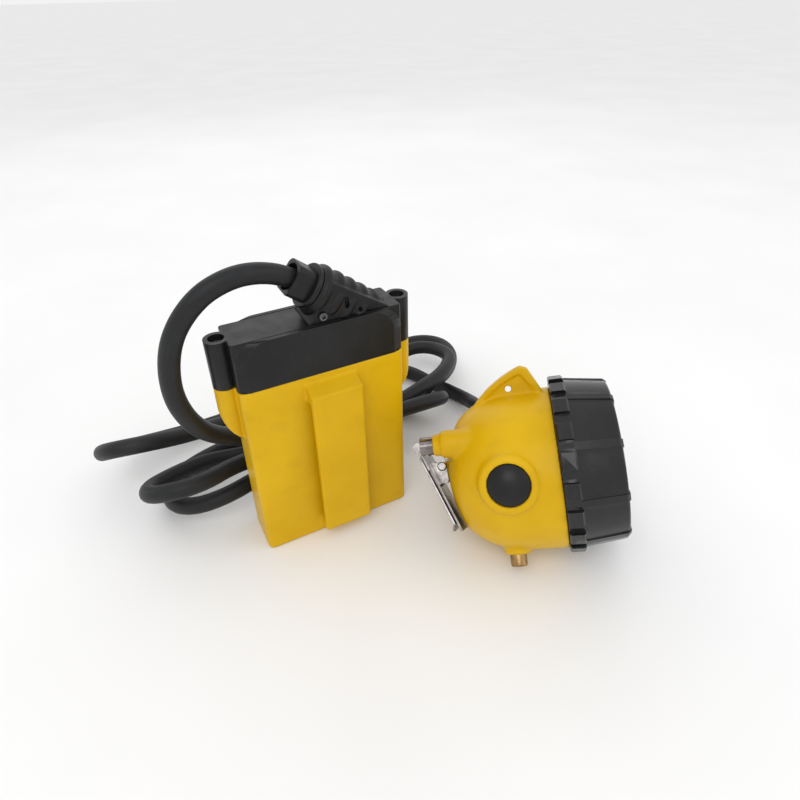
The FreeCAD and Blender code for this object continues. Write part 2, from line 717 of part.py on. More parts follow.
def reflector():
    """A deep bowl with a flange that carries the lens seal."""
    top = lens_back - seal_thickness
    low = top - 1.6
    wall = reflector_wall
    mouth = reflector_rim - 3.6
    bowl_mid = ((reflector_back + low) / 2 - 4.4, (reflector_throat + mouth) / 2 + 3.6)
    outer_mid = (bowl_mid[0] - wall * 0.7, bowl_mid[1] + wall * 0.7)
    return turned([(top, mouth), (top, reflector_rim), (low, reflector_rim), (low, mouth + wall),
                   (outer_mid, (reflector_back, reflector_throat + wall)), (reflector_back, reflector_throat),
                   (bowl_mid, (low, mouth))])


def sink_front():
    return reflector_back - led_board_thickness


def heat_sink():
    """An aluminium carrier disc with cooling fins turned towards the back."""
    front = sink_front()
    disc = turned([(front - sink_thickness, 0), (front - sink_thickness, sink_radius), (front, sink_radius),
                   (front, 0)])
    fins = [box(front - sink_thickness - 4.4, y - 0.8, -16, front - sink_thickness + 0.5, y + 0.8, 16)
            for y in (-12, -6, 0, 6, 12)]
    pillars = [rod(1.6, Vector(lamp_board_x() + board_thickness, y, z), Vector(front - 1, y, z))
               for y in (-13, 13) for z in (-13, 13)]
    return joined([disc] + fins + pillars)


def led_board():
    front = sink_front() + led_board_thickness
    return turned([(front - led_board_thickness, 0), (front - led_board_thickness, led_board_radius),
                   (front, led_board_radius), (front, 0)])


def main_led():
    """The light source: a square carrier with a small dome."""
    front = sink_front() + led_board_thickness
    carrier = box(front, -2.5, -2.5, front + 1.0, 2.5, 2.5)
    dome = Part.makeSphere(1.8, Vector(front + 1.0, 0, 0), Vector(1, 0, 0), 0, 90, 360)
    return joined([carrier, dome])


def lamp_board_x():
    return sink_front() - sink_thickness - 8.0


def lamp_board():
    """The driver board behind the heat sink."""
    back = lamp_board_x()
    board = turned([(back, 0), (back, driver_radius), (back + board_thickness, driver_radius),
                    (back + board_thickness, 0)])
    chips = [box(back + board_thickness, y - 3, z - 2.5, back + board_thickness + 1.6, y + 3, z + 2.5)
             for y, z in ((6, 8), (7, -9))]
    return joined([board] + chips)


# ---- switch, stud and cord gland -----------------------------------------------------------------------
def push_button():
    """A domed cap, a flange that keeps it in the shell, and a short stem."""
    side = side_dir(button_turn)
    foot = Vector(button_x, 0, 0)
    rim = ring_top - 0.4
    bulge = (button_radius ** 2 + button_crown ** 2) / (2 * button_crown)
    crown = Part.makeSphere(bulge, foot + side * (rim + button_crown - bulge))
    barrel = rod(button_radius, foot + side * (rim - 5.0), foot + side * (rim + button_crown + 1))
    flange_top = ring_top - 2.6 - fit_gap
    flange = rod(button_radius + 1.0, foot + side * (flange_top - button_flange), foot + side * flange_top)
    stem = rod(2.6, foot + side * (rim - 7.4), foot + side * (rim - 4.0))
    limit = rod(button_radius + 5, foot + side * (rim - 0.01), foot + side * (rim + button_crown + 1))
    top = crown.common(limit).common(barrel)
    low = rod(button_radius, foot + side * (rim - 5.0), foot + side * rim)
    return joined([top, low, flange, stem])


def switch_body():
    """The sealed momentary switch under the button, held on its bracket."""
    side = side_dir(button_turn)
    foot = Vector(button_x, 0, 0)
    top = ring_top - 0.4 - 7.4 - button_travel - 0.2
    block = Part.makeBox(13, 13, 6, Vector(-6.5, -6.5, -6))
    block.Placement = Placement(foot + side * top, Rotation(UP, side))
    return block


def switch_bracket():
    """A cross plate in the shell that carries the switch."""
    side = side_dir(button_turn)
    foot = Vector(button_x, 0, 0)
    top = ring_top - 0.4 - 7.4 - button_travel - 0.2 - 6.0
    plate = Part.makeBox(16, 60, 1.5, Vector(-8, -30, -1.5))
    plate.Placement = Placement(foot + side * top, Rotation(UP, side))
    inside = turned(dome_outline(shell_radius - shell_wall - 0.1, shell_front - shell_wall))
    inside.translate(Vector(0, 0, -dome_drop))
    return plate.common(inside)


def stud_direction():
    a = math.radians(stud_turn)
    return Vector(0, -math.sin(a), -math.cos(a))


def charging_stud():
    """The brass charging contact: a thick tip outside and a threaded shank through the shell."""
    down = stud_direction()
    foot = Vector(stud_x, 0, 0)
    tip = rounded_edges(rod(stud_radius, foot + down * stud_boss_end, foot + down * stud_tip), 0.8,
                        lambda e: len(e.Vertexes) == 1 and (e.CenterOfMass - foot).Length > stud_tip - 0.5)
    shank = rod(2.2, foot + down * 27.0, foot + down * (stud_boss_end + 0.5))
    return joined([tip, shank])


def stud_nut():
    down = stud_direction()
    foot = Vector(stud_x, 0, 0)
    return tube(4.4, 2.25, foot + down * 29.4, foot + down * 32.4)


def cord_nut():
    """The hexagonal compression nut of the headpiece gland."""
    corners = [Vector(nut_radius * math.cos(math.radians(60 * i)), nut_radius * math.sin(math.radians(60 * i)), 0)
               for i in range(6)]
    solid = outline_face(corners).extrude(Vector(0, 0, nut_length))
    solid = solid.cut(rod(cord_radius - 1.0, Vector(0, 0, -1), Vector(0, 0, nut_length + 1)))
    solid.Placement = Placement(cord_exit - cord_lean * nut_length, Rotation(UP, cord_lean))
    return solid


def strain_relief():
    """A tapered rubber sleeve; the cord is seated in its outer end."""
    cone = Part.makeCone(relief_root_radius, relief_end_radius, relief_length, cord_exit, cord_lean)
    mouth = cord_exit + cord_lean * (relief_length + 1)
    return cone.cut(rod(cord_radius + fit_gap, mouth - cord_lean * (relief_socket + 1), mouth))


# ---- helmet clip ---------------------------------------------------------------------------------------
def clip_line(offset):
    """Start, direction and outward normal of the clip's long leaves, in the plane across the hinge pin."""
    start = Vector(knuckle_x, 0, knuckle_z)
    end = Vector(strip_end_x, 0, strip_end_z)
    run = (end - start).normalize()
    out = Vector(run.z, 0, -run.x)
    return start + out * offset, run, out


def leaf(offset, first, last, y0, y1):
    """A flat steel leaf between two distances from the hinge pin."""
    start, run, out = clip_line(offset)
    half = clip_steel / 2
    corners = [start + run * first - out * half, start + run * last - out * half,
               start + run * last + out * half, start + run * first + out * half]
    face = outline_face([Vector(c.x, y0, c.z) for c in corners])
    return face.extrude(Vector(0, y1 - y0, 0))


def knuckle(y0, y1):
    centre = Vector(knuckle_x, y0, knuckle_z)
    return tube(knuckle_radius, pin_radius + pin_gap, centre, centre + Vector(0, y1 - y0, 0))


def pin_bore():
    return rod(pin_radius + pin_gap, Vector(knuckle_x, -40, knuckle_z), Vector(knuckle_x, 40, knuckle_z))


def clip_bracket():
    """The fixed leaf with its two outer knuckles and the ears that are riveted to the shell."""
    length = math.hypot(strip_end_x - knuckle_x, strip_end_z - knuckle_z)
    leaves = [leaf(0, 4.6, length, clip_low_y + 2, clip_high_y - 2),
              leaf(0, 0.4, 12.0, clip_low_y, clip_low_y + knuckle_width),
              leaf(0, 0.4, 12.0, clip_high_y - knuckle_width, clip_high_y)]
    knuckles = [knuckle(clip_low_y, clip_low_y + knuckle_width),
                knuckle(clip_high_y - knuckle_width, clip_high_y)]
    solid = joined(leaves + knuckles + [clip_ear(-1), clip_ear(1)]).cut(pin_bore())
    return solid.cut(clip_cutter())


def clip_ear(side):
    """One of the two cheeks that straddle the saddle."""
    near = saddle_half + 0.1
    y0 = near if side > 0 else -near - clip_steel
    corners = ((-63.2, 6.0), (-59.5, 4.9), (-54.9, 7.2), (-53.9, -3.9), (-55.0, -5.4), (-57.9, -5.4))
    return outline_face([Vector(x, y0, z) for x, z in corners]).extrude(Vector(0, clip_steel, 0))


def clip_arm():
    """The sprung leaf: its knuckle turns on the pin, and its end is bent out as a lead-in."""
    barrel_low = clip_low_y + knuckle_width + 0.4
    barrel_high = barrel_low + arm_knuckle_width
    plate = leaf(arm_offset, 4.6, 40.0, clip_low_y + 2, clip_high_y - 2)
    tongue = leaf(arm_offset, 0.4, 6.0, barrel_low, barrel_high)
    start, run, out = clip_line(arm_offset)
    tip = start + run * 39.2
    corners = (tip - out * (clip_steel / 2), tip + run * 3.4 + out * 1.2, tip + run * 3.0 + out * 2.2,
               tip + out * (clip_steel / 2))
    lead = outline_face([Vector(p.x, clip_low_y + 2, p.z) for p in corners])
    lead = lead.extrude(Vector(0, clip_high_y - clip_low_y - 4, 0))
    return joined([plate, tongue, lead, knuckle(barrel_low, barrel_high)]).cut(pin_bore())


def clip_pin():
    shaft = rod(pin_radius, Vector(knuckle_x, clip_low_y - 0.6, knuckle_z), Vector(knuckle_x, clip_high_y + 0.6, knuckle_z))
    head = rod(pin_radius + 0.8, Vector(knuckle_x, clip_low_y - 1.5, knuckle_z),
               Vector(knuckle_x, clip_low_y - 0.4, knuckle_z))
    return joined([shaft, head])


def clip_spring():
    """The torsion spring on the pin: closely wound turns and a leg on the fixed leaf."""
    y0 = clip_low_y + knuckle_width + arm_knuckle_width + 0.8
    turns = 7
    wire = 0.45
    rings = [Part.makeTorus(pin_radius + 0.1 + wire, wire, Vector(knuckle_x, y0 + wire + i * 0.84, knuckle_z),
                            Vector(0, 1, 0)) for i in range(turns)]
    start, run, out = clip_line(-(pin_radius + 0.1 + wire))
    leg_low = Vector(start.x, y0 + wire, start.z) - run * 0.6
    return joined(rings + [rod(wire * 0.9, leg_low, leg_low + run * 4.6)])


def clip_rivet():
    """A round-headed rivet through both ears and the saddle."""
    ear_face = saddle_half + 0.1 + clip_steel
    shaft = rod(pin_radius, Vector(rivet_x, -ear_face, rivet_z), Vector(rivet_x, ear_face, rivet_z))
    heads = []
    for side in (-1, 1):
        foot = Vector(rivet_x, side * ear_face, rivet_z)
        head = rounded_edges(rod(2.3, foot, foot + DEPTH * (side * 1.1)), 0.6,
                             lambda e: len(e.Vertexes) == 1 and abs(e.CenterOfMass.y) > ear_face + 1.0)
        heads.append(head)
    return joined([shaft] + heads)


def clip_bush():
    """The plated bush on the boss's end, which backs the knuckle."""
    return tube(4.3, 2.0, Vector(clip_collar_back, clip_boss_y, clip_boss_z),
                Vector(knuckle_x + knuckle_radius + 0.3, clip_boss_y, clip_boss_z))


# ---- write the pieces ----------------------------------------------------------------------------------
def battery_pieces():
    cell_top = cell_floor() + 2 * strip_thickness + cell_length
    board_top = cell_top + 1.5 + board_thickness + 1.8
    pieces = {
        "battery_case": battery_case(),
        "battery_cap": battery_cap(),
        "cap_gasket": cap_gasket(),
        "cap_screws": cap_screws(),
        "front_cell_cradle": cell_cradle(-1),
        "back_cell_cradle": cell_cradle(1),
        "lower_nickel_strip": nickel_strip(cell_floor()),
        "upper_nickel_strip": nickel_strip(cell_floor() + strip_thickness + cell_length),
        "lower_foam_pad": foam_pad(case_wall, cell_pad),
        "upper_foam_pad": foam_pad(board_top + 1.0, 6.0),
        "protection_board": protection_board(),
        "gland_boot": gland_boot(),
        "gland_flange": gland_flange(),
        "cable_collar": cable_collar(),
        "clamp_screw": clamp_screw(),
        "lamp_cord": cord(),
    }
    for number in range(cell_count):
        pieces["battery_cell_%d" % (number + 1)] = battery_cell(number)
    return pieces


def headpiece_pieces():
    return {
        "lamp_shell": lamp_shell(),
        "bezel_ring": bezel_ring(),
        "lens": lens(),
        "lens_seal": lens_seal(),
        "reflector": reflector(),
        "heat_sink": heat_sink(),
        "led_board": led_board(),
        "main_led": main_led(),
        "lamp_board": lamp_board(),
        "push_button": push_button(),
        "switch_body": switch_body(),
        "switch_bracket": switch_bracket(),
        "charging_stud": charging_stud(),
        "stud_nut": stud_nut(),
        "cord_nut": cord_nut(),
        "strain_relief": strain_relief(),
        "clip_bracket": clip_bracket(),
        "clip_arm": clip_arm(),
        "clip_pin": clip_pin(),
        "clip_spring": clip_spring(),
        "clip_rivet": clip_rivet(),
        "clip_bush": clip_bush(),
    }


def laid_down(shape):
    """A headpiece solid in its place beside the battery."""
    placed = shape.copy()
    placed.Placement = headpiece.multiply(shape.Placement)
    return placed


def write_pieces():
    os.makedirs("parts", exist_ok=True)
    pieces = battery_pieces()
    for name, shape in headpiece_pieces().items():
        pieces[name] = laid_down(shape)
    for name, shape in pieces.items():
        if not shape.isValid():
            print("not valid:", name)
        shape.exportStep("parts/%s.step" % name)
        print("%-20s solids %d  volume %.1f" % (name, len(shape.Solids), shape.Volume))


write_pieces()
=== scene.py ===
import math

import bmesh
import bpy
from mathutils import Matrix, Vector


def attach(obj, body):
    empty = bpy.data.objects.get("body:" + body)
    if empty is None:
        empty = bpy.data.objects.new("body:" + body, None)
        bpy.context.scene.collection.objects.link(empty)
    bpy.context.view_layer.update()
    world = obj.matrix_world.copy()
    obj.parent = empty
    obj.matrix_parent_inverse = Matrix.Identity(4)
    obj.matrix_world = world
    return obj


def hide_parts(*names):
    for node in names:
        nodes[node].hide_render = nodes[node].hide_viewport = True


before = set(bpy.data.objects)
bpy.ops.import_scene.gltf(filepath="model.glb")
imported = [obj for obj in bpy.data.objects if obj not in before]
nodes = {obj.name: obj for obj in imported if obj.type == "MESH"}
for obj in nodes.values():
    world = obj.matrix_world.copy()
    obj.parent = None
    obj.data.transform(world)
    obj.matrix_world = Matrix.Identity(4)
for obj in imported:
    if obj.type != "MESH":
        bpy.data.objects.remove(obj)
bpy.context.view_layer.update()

MM = 0.001

# ---- places that the scene shares with the part, metres ---------------------------------------------------
CORD_RADIUS = 4.5 * MM
LAMP_CENTRE = Vector((95.7, -65.7, 43.35)) * MM
LAMP_TURN = (Matrix.Rotation(math.radians(-34.5), 3, "Z") @ Matrix.Rotation(math.radians(-12.2), 3, "Y")
             @ Matrix.Rotation(math.radians(-42.0), 3, "X"))
DOME_RADIUS = 38.2 * MM
DOME_X = -19.5 * MM
DOME_DROP = 1.4 * MM
GLAND_TILT = math.radians(37.6)
GLAND_FACE = Vector((-1.25, 0.0, 133.7)) * MM
GLAND_OUT = Vector((-math.cos(GLAND_TILT), 0.0, math.sin(GLAND_TILT)))
FLANGE_DEPTH = 2.6 * MM      # the cord starts this far inside the gland
STRAIGHT_REACH = 9.4 * MM    # and leaves it straight for this far
RELIEF_FOOT = Vector((-25.5, 46.7, 19.3)) * MM
RELIEF_OUT = Vector((-0.513, 0.664, 0.544)).normalized()
BUTTON_SIDE = Vector((0.0, -math.cos(math.radians(-11.6)), math.sin(math.radians(-11.6))))
BUTTON_X = -23.3 * MM
HOUSING_RADIUS = 13.5 * MM   # reach of the switch housing round the button's axis
HOUSING_FOOT = 30.0 * MM     # distance from the lamp's axis at which the housing starts
BEZEL_EDGE = -1.5 * MM       # the shell's front end, under the bezel
BLEND_BAND = (-1.0 * MM, 4.5 * MM)  # heights over the dome where the bosses run into it


def lamp_point(local):
    """A place in the headpiece's own frame, given in the row frame."""
    return LAMP_CENTRE + LAMP_TURN @ local


# ---- materials -------------------------------------------------------------------------------------------
class Shader:
    """A node material: a principled shader and small helpers that feed it."""

    def __init__(self, name):
        self.mat = bpy.data.materials.new(name)
        self.mat.use_nodes = True
        self.tree = self.mat.node_tree
        self.bsdf = self.tree.nodes["Principled BSDF"]
        self.place = self.tree.nodes.new("ShaderNodeTexCoord").outputs["Object"]

    def use_cord_space(self):
        """Takes the pattern from the cord's length and girth rather than from its place."""
        coord = self.tree.nodes.new("ShaderNodeTexCoord")
        self.place = coord.outputs["UV"]

    def link(self, a, b):
        self.tree.links.new(a, b)

    def noise(self, scale, detail=3.0, stretch=None):
        node = self.tree.nodes.new("ShaderNodeTexNoise")
        node.inputs["Scale"].default_value = scale
        node.inputs["Detail"].default_value = detail
        if stretch is None:
            self.link(self.place, node.inputs["Vector"])
        else:
            mapping = self.tree.nodes.new("ShaderNodeMapping")
            mapping.inputs["Scale"].default_value = stretch
            self.link(self.place, mapping.inputs["Vector"])
            self.link(mapping.outputs["Vector"], node.inputs["Vector"])
        return node.outputs["Fac"]

    def spread(self, value, low, high, start=0.35, end=0.65):
        """Maps a noise value to a range."""
        node = self.tree.nodes.new("ShaderNodeMapRange")
        node.inputs["From Min"].default_value = start
        node.inputs["From Max"].default_value = end
        node.inputs["To Min"].default_value = low
        node.inputs["To Max"].default_value = high
        self.link(value, node.inputs["Value"])
        return node.outputs["Result"]

    def mix(self, amount, first, second):
        node = self.tree.nodes.new("ShaderNodeMix")
        node.data_type = "RGBA"
        self.link(amount, node.inputs["Factor"])
        for value, socket in ((first, node.inputs["A"]), (second, node.inputs["B"])):
            if isinstance(value, tuple):
                socket.default_value = (*value, 1.0)
            else:
                self.link(value, socket)
        return node.outputs["Result"]

    def edges(self, radius, low=0.985, high=0.86):
        """1 on sharp edges and 0 on flat stretches."""
        bevel = self.tree.nodes.new("ShaderNodeBevel")
        bevel.samples = 4
        bevel.inputs["Radius"].default_value = radius
        geometry = self.tree.nodes.new("ShaderNodeNewGeometry")
        dot = self.tree.nodes.new("ShaderNodeVectorMath")
        dot.operation = "DOT_PRODUCT"
        self.link(bevel.outputs["Normal"], dot.inputs[0])
        self.link(geometry.outputs["Normal"], dot.inputs[1])
        return self.spread(dot.outputs["Value"], 0.0, 1.0, low, high)

    def bump(self, heights):
        """Adds relief from (height value, distance in metres) pairs."""
        normal = None
        for value, distance in heights:
            node = self.tree.nodes.new("ShaderNodeBump")
            node.inputs["Strength"].default_value = 1.0
            node.inputs["Distance"].default_value = distance
            self.link(value, node.inputs["Height"])
            if normal is not None:
                self.link(normal, node.inputs["Normal"])
            normal = node.outputs["Normal"]
        self.link(normal, self.bsdf.inputs["Normal"])

    def colour(self, output):
        self.link(output, self.bsdf.inputs["Base Color"])

    def roughness(self, output):
        self.link(output, self.bsdf.inputs["Roughness"])

    def fixed(self, **values):
        for name, value in values.items():
            self.bsdf.inputs[name.replace("_", " ")].default_value = value


def yellow_plastic():
    s = Shader("yellow_moulded_plastic")
    tone = s.mix(s.spread(s.noise(28.0, 4.0), 0.0, 1.0), (0.64, 0.375, 0.002), (0.70, 0.425, 0.004))
    grime = s.spread(s.noise(75.0, 6.0), 0.0, 0.32, 0.55, 0.80)
    tone = s.mix(grime, tone, (0.44, 0.24, 0.004))
    # Painted highlight: lighter yellow along the sharp edges.
    painted_edge_highlight = s.mix(s.edges(0.5 * MM), tone, (0.80, 0.50, 0.02))
    s.colour(painted_edge_highlight)
    s.roughness(s.spread(s.noise(210.0, 5.0), 0.30, 0.44))
    s.bump([(s.noise(2600.0, 2.0), 0.010 * MM), (s.noise(90.0, 2.0), 0.05 * MM)])
    s.fixed(Specular_IOR_Level=0.18, Subsurface_Weight=0.03, Subsurface_Scale=1.0 * MM)
    return s.mat


def black_plastic(name, specular, rough_low, rough_high):
    s = Shader(name)
    tone = s.mix(s.spread(s.noise(45.0, 5.0), 0.0, 1.0), (0.006, 0.0062, 0.0068), (0.011, 0.0114, 0.0122))
    dust = s.spread(s.noise(320.0, 6.0), 0.0, 0.25, 0.58, 0.80)
    tone = s.mix(dust, tone, (0.035, 0.035, 0.035))
    # Painted highlight: lighter grey along the sharp edges.
    s.colour(s.mix(s.edges(0.35 * MM), tone, (0.035, 0.035, 0.037)))
    s.roughness(s.spread(s.noise(150.0, 5.0), rough_low, rough_high))
    s.bump([(s.noise(2200.0, 2.0), 0.012 * MM), (s.noise(120.0, 2.0), 0.04 * MM)])
    s.fixed(Specular_IOR_Level=specular)
    return s.mat


def black_rubber(name, shine=0.42):
    s = Shader(name)
    tone = s.mix(s.spread(s.noise(60.0, 5.0), 0.0, 1.0), (0.007, 0.007, 0.008), (0.013, 0.013, 0.014))
    # Painted highlight: lighter grey along the sharp edges.
    s.colour(s.mix(s.edges(0.5 * MM), tone, (0.028, 0.028, 0.030)))
    s.roughness(s.spread(s.noise(180.0, 5.0), shine - 0.06, shine + 0.10))
    s.bump([(s.noise(1800.0, 3.0), 0.018 * MM), (s.noise(140.0, 2.0), 0.06 * MM)])
    s.fixed(Specular_IOR_Level=0.26)
    return s.mat


def cord_rubber():
    s = Shader("extruded_cord_rubber")
    s.use_cord_space()
    lines = s.noise(9.0, 4.0, (10.0, 9.0, 1.0))
    scuffs = s.noise(1.0, 3.0, (60.0, 1.0, 1.0))
    fine = s.noise(900.0, 3.0, (40.0, 1.0, 1.0))
    tone = s.mix(s.spread(lines, 0.0, 1.0), (0.009, 0.0095, 0.0105), (0.016, 0.0165, 0.018))
    s.colour(s.mix(s.spread(scuffs, 0.0, 0.3, 0.52, 0.74), tone, (0.035, 0.036, 0.038)))
    s.roughness(s.spread(lines, 0.40, 0.56))
    s.bump([(fine, 0.015 * MM), (lines, 0.03 * MM)])
    s.fixed(Specular_IOR_Level=0.28)
    return s.mat


def metal(name, dark, light, rough_low, rough_high, brush=None, stains=0.0):
    s = Shader(name)
    tone = s.mix(s.spread(s.noise(160.0, 5.0), 0.0, 1.0), dark, light)
    if stains:
        stain = tuple(0.35 * part for part in dark)
        tone = s.mix(s.spread(s.noise(420.0, 6.0), 0.0, stains, 0.5, 0.7), tone, stain)
    s.colour(tone)
    s.roughness(s.spread(s.noise(300.0, 4.0), rough_low, rough_high))
    grain = s.noise(700.0, 3.0, brush or (1.0, 1.0, 1.0))
    s.bump([(grain, 0.012 * MM), (s.noise(110.0, 2.0), 0.05 * MM)])
    s.fixed(Metallic=1.0)
    return s.mat


def clear_lens():
    s = Shader("clear_lens")
    s.colour(s.mix(s.spread(s.noise(40.0), 0.0, 1.0), (0.93, 0.97, 0.97), (0.98, 0.99, 0.99)))
    s.roughness(s.spread(s.noise(260.0, 6.0), 0.01, 0.07, 0.55, 0.8))
    s.bump([(s.noise(60.0, 1.0), 0.004 * MM)])
    s.fixed(Transmission_Weight=1.0, IOR=1.49)
    return s.mat


def plain_part(name, dark, light, rough=0.5, grain=900.0, depth=0.015):
    """A small moulded or printed inner part."""
    s = Shader(name)
    s.colour(s.mix(s.spread(s.noise(130.0, 4.0), 0.0, 1.0), dark, light))
    s.roughness(s.spread(s.noise(240.0, 3.0), rough - 0.08, rough + 0.08))
    s.bump([(s.noise(grain, 3.0), depth * MM)])
    return s.mat


def floor_material():
    s = Shader("pale_floor")
    s.colour(s.mix(s.spread(s.noise(6.0, 4.0), 0.0, 1.0), (0.88, 0.88, 0.88), (0.91, 0.91, 0.91)))
    s.roughness(s.spread(s.noise(40.0, 3.0), 0.55, 0.7))
    s.bump([(s.noise(500.0, 2.0), 0.01 * MM)])
    return s.mat


yellow = yellow_plastic()
black = black_plastic("black_moulded_plastic", 0.26, 0.28, 0.42)
glossy_black = black_plastic("black_glossy_plastic", 0.42, 0.16, 0.28)
soft_black = black_rubber("moulded_black_rubber")
button_black = black_rubber("button_rubber", 0.36)
cord_black = cord_rubber()
chrome = metal("nickel_plate", (0.17, 0.155, 0.148), (0.34, 0.315, 0.30), 0.12, 0.24, (1.0, 1.0, 12.0), 0.25)
brass = metal("tarnished_brass", (0.24, 0.13, 0.05), (0.50, 0.33, 0.14), 0.24, 0.42, None, 0.6)
steel = metal("screw_steel", (0.42, 0.42, 0.43), (0.62, 0.62, 0.63), 0.24, 0.42, None, 0.35)
dark_steel = metal("dark_steel", (0.07, 0.07, 0.075), (0.13, 0.13, 0.135), 0.3, 0.45)
aluminium = metal("machined_aluminium", (0.66, 0.67, 0.69), (0.80, 0.81, 0.83), 0.22, 0.36, (8.0, 1.0, 1.0))
mirror = metal("mirror_coating", (0.90, 0.90, 0.90), (0.96, 0.96, 0.96), 0.02, 0.06)
lens_clear = clear_lens()
board_green = plain_part("green_board", (0.01, 0.10, 0.03), (0.02, 0.16, 0.05), 0.32)
board_white = plain_part("white_board", (0.78, 0.78, 0.76), (0.86, 0.86, 0.84), 0.35)
phosphor = plain_part("phosphor", (0.80, 0.62, 0.06), (0.92, 0.76, 0.12), 0.25, 400.0, 0.01)
cell_wrap = plain_part("cell_wrap", (0.02, 0.12, 0.30), (0.03, 0.17, 0.38), 0.28)
foam = plain_part("foam", (0.05, 0.05, 0.055), (0.09, 0.09, 0.095), 0.85, 500.0, 0.2)
pale_plastic = plain_part("pale_plastic", (0.62, 0.62, 0.58), (0.72, 0.72, 0.68), 0.45)

FINISH = {
    "battery_case": yellow, "battery_cap": black, "cap_gasket": soft_black, "cap_screws": steel,
    "front_cell_cradle": pale_plastic, "back_cell_cradle": pale_plastic, "lower_nickel_strip": steel,
    "upper_nickel_strip": steel, "lower_foam_pad": foam, "upper_foam_pad": foam,
    "protection_board": board_green, "gland_boot": soft_black, "gland_flange": black,
    "cable_collar": black, "clamp_screw": dark_steel, "lamp_cord": cord_black, "battery_cell_1": cell_wrap,
    "battery_cell_2": cell_wrap, "battery_cell_3": cell_wrap, "battery_cell_4": cell_wrap,
    "lamp_shell": yellow, "bezel_ring": glossy_black, "lens": lens_clear, "lens_seal": soft_black,
    "reflector": mirror, "heat_sink": aluminium, "led_board": board_white, "main_led": phosphor,
    "lamp_board": board_green, "push_button": button_black, "switch_body": black, "switch_bracket": steel,
    "charging_stud": brass, "stud_nut": brass, "cord_nut": black, "strain_relief": soft_black,
    "clip_bracket": chrome, "clip_arm": chrome, "clip_pin": chrome, "clip_spring": steel,
    "clip_rivet": chrome, "clip_bush": chrome,
}


def dress(obj, material):
    if not obj.data.materials:
        obj.data.materials.append(material)
    for place in obj.material_slots:
        place.link = "OBJECT"
        place.material = material


def smooth_faces(mesh):
    mesh.polygons.foreach_set("use_smooth", [True] * len(mesh.polygons))
    mesh.update()


def soften(node, width, segments=2):
    """Small rounded edges on a CAD node, by modifiers only."""
    obj = nodes[node]
    weld = obj.modifiers.new("weld", "WELD")
    weld.merge_threshold = 0.002 * MM
    bevel = obj.modifiers.new("edge", "BEVEL")
    bevel.width = width
    bevel.segments = segments
    bevel.limit_method = "ANGLE"
    bevel.angle_limit = math.radians(32.0)


for name, obj in nodes.items():
    dress(obj, FINISH[name])


# ---- pieces that stand in for CAD nodes ------------------------------------------------------------------
def remeshed(node, voxel):
    """A closed, even copy of a CAD node's skin, in mesh code."""
    copy = bpy.data.objects.new(node + "_skin", nodes[node].data.copy())
    bpy.context.scene.collection.objects.link(copy)
    grid = copy.modifiers.new("grid", "REMESH")
    grid.mode = "VOXEL"
    grid.voxel_size = voxel
    graph = bpy.context.evaluated_depsgraph_get()
    mesh = bpy.data.meshes.new_from_object(copy.evaluated_get(graph))
    copy.modifiers.clear()
    copy.data = mesh
    smooth_faces(mesh)
    dress(copy, FINISH[node])
    return copy


def relax(obj, weigh, rounds):
    """Evens the skin out where weigh(point) is high, which blends the bosses into the dome."""
    group = obj.vertex_groups.new(name="blend")
    for vertex in obj.data.vertices:
        group.add([vertex.index], weigh(vertex.co), "REPLACE")
    smooth = obj.modifiers.new("blend", "SMOOTH")
    smooth.factor = 0.5
    smooth.iterations = rounds
    smooth.vertex_group = group.name


def stand_in(obj, node):
    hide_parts(node)
    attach(obj, "lamp_set")


def dome_height(local):
    """How far a place in the headpiece's frame is from the plain dome and its straight part."""
    if local.x < DOME_X:
        return (local - Vector((DOME_X, 0.0, -DOME_DROP))).length - DOME_RADIUS
    return math.hypot(local.y, local.z + DOME_DROP) - DOME_RADIUS


def shell_weight(point):
    """How strongly the lamp shell's skin is evened out at a place."""
    local = LAMP_TURN.transposed() @ (point - LAMP_CENTRE)
    from_button = local - Vector((BUTTON_X, 0.0, 0.0))
    away = (from_button - BUTTON_SIDE * from_button.dot(BUTTON_SIDE)).length
    if away < HOUSING_RADIUS and from_button.dot(BUTTON_SIDE) > HOUSING_FOOT:
        return 0.30
    if local.x > BEZEL_EDGE:
        return 0.08
    height = dome_height(local)
    if BLEND_BAND[0] < height < BLEND_BAND[1]:
        return 1.0
    return 0.22


def lamp_shell_skin():
    skin = remeshed("lamp_shell", 0.55 * MM)
    skin.name = "lamp_shell_skin"
    relax(skin, shell_weight, 34)
    stand_in(skin, "lamp_shell")


def boot_skin():
    skin = remeshed("gland_boot", 0.35 * MM)
    relax(skin, lambda point: 0.6, 8)
    stand_in(skin, "gland_boot")


def case_skin():
    skin = remeshed("battery_case", 0.55 * MM)
    relax(skin, lambda point: 0.5, 6)
    stand_in(skin, "battery_case")


# ---- cord ------------------------------------------------------------------------------------------------
def relief_point(distance):
    """A place on the axis of the headpiece's cord gland."""
    return lamp_point(RELIEF_FOOT + RELIEF_OUT * (distance * MM))


RELIEF_STRAIGHT = 36.5       # millimetres from the gland's foot where the cord turns into line
RELIEF_SEAT = 23.0           # and where it ends, inside the sleeve


HOOK_RUN = [
    (-0.0215, -0.002, 0.1446), (-0.034, -0.0036, 0.145), (-0.047, -0.0035, 0.1395),
    (-0.0585, -0.0005, 0.125), (-0.0635, 0.0025, 0.106), (-0.063, 0.0055, 0.087),
    (-0.056, 0.012, 0.067), (-0.044, 0.021, 0.052)]
FIRST_RIGHT_RUN = [
    (-0.024, 0.0255, 0.041), (0.01, 0.0245, 0.034), (0.045, 0.021, 0.0332), (0.076, 0.02, 0.033),
    (0.089, 0.03, 0.0245), (0.089, 0.0435, 0.013), (0.076, 0.0534, 0.005)]
FIRST_LEFT_RUN = [
    (0.045, 0.055, 0.0049), (0.014, 0.054, 0.0049), (-0.014, 0.058, 0.0049),
    (-0.036, 0.0605, 0.006), (-0.057, 0.057, 0.0125), (-0.084, 0.0435, 0.0186),
    (-0.088, 0.0284, 0.026), (-0.078, 0.016, 0.0334)]
